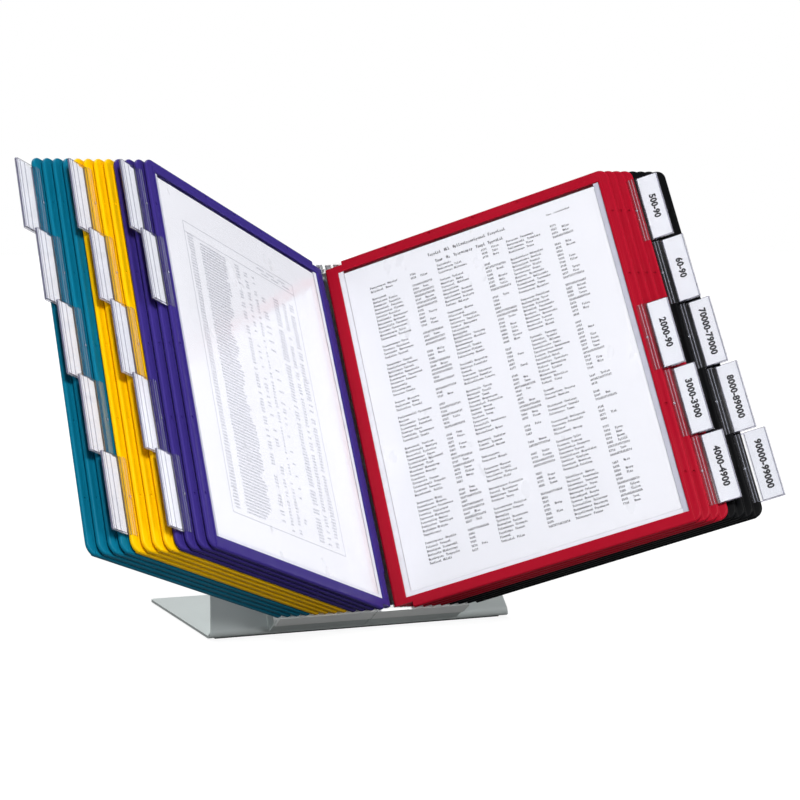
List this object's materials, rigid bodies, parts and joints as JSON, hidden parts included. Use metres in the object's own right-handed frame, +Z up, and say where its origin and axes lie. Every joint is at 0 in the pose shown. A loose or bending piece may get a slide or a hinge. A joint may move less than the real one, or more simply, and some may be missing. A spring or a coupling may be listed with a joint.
{
  "type": "desktop flip-panel reference stand",
  "caption": "Leaning steel desk stand with hinged, tabbed display panels that turn like pages, each a coloured frame round a clear pocket for letter sheets.",
  "frame": {"origin": "centre of the flat base's footprint, on the desk", "axes": "+X to the reader's right, +Y away from the reader, +Z up; the back plate leans towards +Y by 31 degrees"},
  "size_m": [0.5432, 0.3378, 0.3568],
  "materials": {
    "stand_steel": "light grey fine-textured powder coat",
    "pad_rubber": "matt black sheet",
    "carrier_steel": "light grey powder coat",
    "comb_plastic": "light grey moulding",
    "fastener_steel": "zinc plated",
    "pin_steel": "bright drawn wire",
    "teal_plastic": "fine satin moulding, teal",
    "yellow_plastic": "fine satin moulding, yellow",
    "violet_plastic": "fine satin moulding, blue-violet",
    "red_plastic": "fine satin moulding, red",
    "black_plastic": "fine satin moulding, black",
    "clear_film": "clear glossy film",
    "clear_plastic": "clear moulding",
    "label_card": "white card",
    "sheet_paper": "uncoated white paper",
    "print_ink": "black and coloured printing"
  },
  "bodies": {
    "stand_body": {"stand": "stand_steel", "desk_pad": "pad_rubber", "carrier_left": "carrier_steel", "lower_comb_left": "comb_plastic", "upper_comb_left": "comb_plastic", "carrier_right": "carrier_steel", "lower_comb_right": "comb_plastic", "upper_comb_right": "comb_plastic", "carrier_screws": "fastener_steel", "carrier_nuts": "fastener_steel"},
    "panel_01": {"panel_01_frame": "teal_plastic", "panel_01_tab": "clear_plastic"},
    "panel_02": {"panel_02_frame": "teal_plastic", "panel_02_tab": "clear_plastic"},
    "panel_03": {"panel_03_frame": "teal_plastic", "panel_03_tab": "clear_plastic"},
    "panel_04": {"panel_04_frame": "teal_plastic", "panel_04_tab": "clear_plastic"},
    "panel_05": {"panel_05_frame": "yellow_plastic", "panel_05_tab": "clear_plastic"},
    "panel_06": {"panel_06_frame": "yellow_plastic", "panel_06_tab": "clear_plastic"},
    "panel_07": {"panel_07_frame": "yellow_plastic", "panel_07_tab": "clear_plastic"},
    "panel_08": {"panel_08_frame": "yellow_plastic", "panel_08_tab": "clear_plastic"},
    "panel_09": {"panel_09_frame": "violet_plastic", "panel_09_tab": "clear_plastic"},
    "panel_10": {"panel_10_frame": "violet_plastic", "panel_10_tab": "clear_plastic"},
    "panel_11": {"panel_11_frame": "violet_plastic", "panel_11_tab": "clear_plastic"},
    "panel_12": {"panel_12_frame": "violet_plastic", "panel_12_tab": "clear_plastic", "panel_12_pins": "pin_steel", "panel_12_pocket": "clear_film"},
    "sheet_12": {"panel_12_sheet": "sheet_paper"},
    "label_12": {"panel_12_label": "label_card"},
    "panel_13": {"panel_13_frame": "red_plastic", "panel_13_tab": "clear_plastic", "panel_13_pins": "pin_steel", "panel_13_pocket": "clear_film"},
    "sheet_13": {"panel_13_sheet": "sheet_paper"},
    "label_13": {"panel_13_label": "label_card"},
    "panel_14": {"panel_14_frame": "red_plastic", "panel_14_tab": "clear_plastic"},
    "panel_15": {"panel_15_frame": "red_plastic", "panel_15_tab": "clear_plastic"},
    "panel_16": {"panel_16_frame": "red_plastic", "panel_16_tab": "clear_plastic"},
    "panel_17": {"panel_17_frame": "black_plastic", "panel_17_tab": "clear_plastic"},
    "panel_18": {"panel_18_frame": "black_plastic", "panel_18_tab": "clear_plastic"},
    "panel_19": {"panel_19_frame": "black_plastic", "panel_19_tab": "clear_plastic"},
    "panel_20": {"panel_20_frame": "black_plastic", "panel_20_tab": "clear_plastic"}
  },
  "joints": [
    {"name": "panel_01_hinge", "type": "hinge", "parent": "stand_body", "child": "panel_01", "pos_m": [-0.0703, -0.10896, 0.01624], "axis": [0, 0.515, 0.8572], "range_deg": [0, 100]},
    {"name": "panel_02_hinge", "type": "hinge", "parent": "stand_body", "child": "panel_02", "pos_m": [-0.0629, -0.10896, 0.01624], "axis": [0, 0.515, 0.8572], "range_deg": [0, 100]},
    {"name": "panel_03_hinge", "type": "hinge", "parent": "stand_body", "child": "panel_03", "pos_m": [-0.0555, -0.10896, 0.01624], "axis": [0, 0.515, 0.8572], "range_deg": [0, 100]},
    {"name": "panel_04_hinge", "type": "hinge", "parent": "stand_body", "child": "panel_04", "pos_m": [-0.0481, -0.10896, 0.01624], "axis": [0, 0.515, 0.8572], "range_deg": [0, 100]},
    {"name": "panel_05_hinge", "type": "hinge", "parent": "stand_body", "child": "panel_05", "pos_m": [-0.0407, -0.10896, 0.01624], "axis": [0, 0.515, 0.8572], "range_deg": [0, 100]},
    {"name": "panel_06_hinge", "type": "hinge", "parent": "stand_body", "child": "panel_06", "pos_m": [-0.0333, -0.10896, 0.01624], "axis": [0, 0.515, 0.8572], "range_deg": [0, 100]},
    {"name": "panel_07_hinge", "type": "hinge", "parent": "stand_body", "child": "panel_07", "pos_m": [-0.0259, -0.10896, 0.01624], "axis": [0, 0.515, 0.8572], "range_deg": [0, 100]},
    {"name": "panel_08_hinge", "type": "hinge", "parent": "stand_body", "child": "panel_08", "pos_m": [-0.0185, -0.10896, 0.01624], "axis": [0, 0.515, 0.8572], "range_deg": [0, 100]},
    {"name": "panel_09_hinge", "type": "hinge", "parent": "stand_body", "child": "panel_09", "pos_m": [-0.0111, -0.10896, 0.01624], "axis": [0, 0.515, 0.8572], "range_deg": [0, 100]},
    {"name": "panel_10_hinge", "type": "hinge", "parent": "stand_body", "child": "panel_10", "pos_m": [-0.0037, -0.10896, 0.01624], "axis": [0, 0.515, 0.8572], "range_deg": [0, 100]},
    {"name": "panel_11_hinge", "type": "hinge", "parent": "stand_body", "child": "panel_11", "pos_m": [0.0037, -0.10896, 0.01624], "axis": [0, 0.515, 0.8572], "range_deg": [0, 100]},
    {"name": "panel_12_hinge", "type": "hinge", "parent": "stand_body", "child": "panel_12", "pos_m": [0.0111, -0.10896, 0.01624], "axis": [0, 0.515, 0.8572], "range_deg": [0, 100]},
    {"name": "sheet_12_slide", "type": "slide", "parent": "panel_12", "child": "sheet_12", "axis": [0, 0.515, 0.8572], "range_m": [0, 0.285]},
    {"name": "label_12_slide", "type": "slide", "parent": "panel_12", "child": "label_12", "axis": [0, 0.515, 0.8572], "range_m": [0, 0.05]},
    {"name": "panel_13_hinge", "type": "hinge", "parent": "stand_body", "child": "panel_13", "pos_m": [0.0185, -0.10896, 0.01624], "axis": [0, 0.515, 0.8572], "range_deg": [-100, 0]},
    {"name": "sheet_13_slide", "type": "slide", "parent": "panel_13", "child": "sheet_13", "axis": [0, 0.515, 0.8572], "range_m": [0, 0.285]},
    {"name": "label_13_slide", "type": "slide", "parent": "panel_13", "child": "label_13", "axis": [0, 0.515, 0.8572], "range_m": [0, 0.05]},
    {"name": "panel_14_hinge", "type": "hinge", "parent": "stand_body", "child": "panel_14", "pos_m": [0.0259, -0.10896, 0.01624], "axis": [0, 0.515, 0.8572], "range_deg": [-100, 0]},
    {"name": "panel_15_hinge", "type": "hinge", "parent": "stand_body", "child": "panel_15", "pos_m": [0.0333, -0.10896, 0.01624], "axis": [0, 0.515, 0.8572], "range_deg": [-100, 0]},
    {"name": "panel_16_hinge", "type": "hinge", "parent": "stand_body", "child": "panel_16", "pos_m": [0.0407, -0.10896, 0.01624], "axis": [0, 0.515, 0.8572], "range_deg": [-100, 0]},
    {"name": "panel_17_hinge", "type": "hinge", "parent": "stand_body", "child": "panel_17", "pos_m": [0.0481, -0.10896, 0.01624], "axis": [0, 0.515, 0.8572], "range_deg": [-100, 0]},
    {"name": "panel_18_hinge", "type": "hinge", "parent": "stand_body", "child": "panel_18", "pos_m": [0.0555, -0.10896, 0.01624], "axis": [0, 0.515, 0.8572], "range_deg": [-100, 0]},
    {"name": "panel_19_hinge", "type": "hinge", "parent": "stand_body", "child": "panel_19", "pos_m": [0.0629, -0.10896, 0.01624], "axis": [0, 0.515, 0.8572], "range_deg": [-100, 0]},
    {"name": "panel_20_hinge", "type": "hinge", "parent": "stand_body", "child": "panel_20", "pos_m": [0.0703, -0.10896, 0.01624], "axis": [0, 0.515, 0.8572], "range_deg": [-100, 0]}
  ],
  "couplings": [
    {"joint": "panel_02_hinge", "follows": "panel_01_hinge", "ratio": 1},
    {"joint": "panel_03_hinge", "follows": "panel_01_hinge", "ratio": 1},
    {"joint": "panel_04_hinge", "follows": "panel_01_hinge", "ratio": 1},
    {"joint": "panel_05_hinge", "follows": "panel_01_hinge", "ratio": 1},
    {"joint": "panel_06_hinge", "follows": "panel_01_hinge", "ratio": 1},
    {"joint": "panel_07_hinge", "follows": "panel_01_hinge", "ratio": 1},
    {"joint": "panel_08_hinge", "follows": "panel_01_hinge", "ratio": 1},
    {"joint": "panel_09_hinge", "follows": "panel_01_hinge", "ratio": 1},
    {"joint": "panel_10_hinge", "follows": "panel_01_hinge", "ratio": 1},
    {"joint": "panel_11_hinge", "follows": "panel_01_hinge", "ratio": 1},
    {"joint": "panel_12_hinge", "follows": "panel_01_hinge", "ratio": 1},
    {"joint": "panel_13_hinge", "follows": "panel_20_hinge", "ratio": 1},
    {"joint": "panel_14_hinge", "follows": "panel_20_hinge", "ratio": 1},
    {"joint": "panel_15_hinge", "follows": "panel_20_hinge", "ratio": 1},
    {"joint": "panel_16_hinge", "follows": "panel_20_hinge", "ratio": 1},
    {"joint": "panel_17_hinge", "follows": "panel_20_hinge", "ratio": 1},
    {"joint": "panel_18_hinge", "follows": "panel_20_hinge", "ratio": 1},
    {"joint": "panel_19_hinge", "follows": "panel_20_hinge", "ratio": 1}
  ]
}
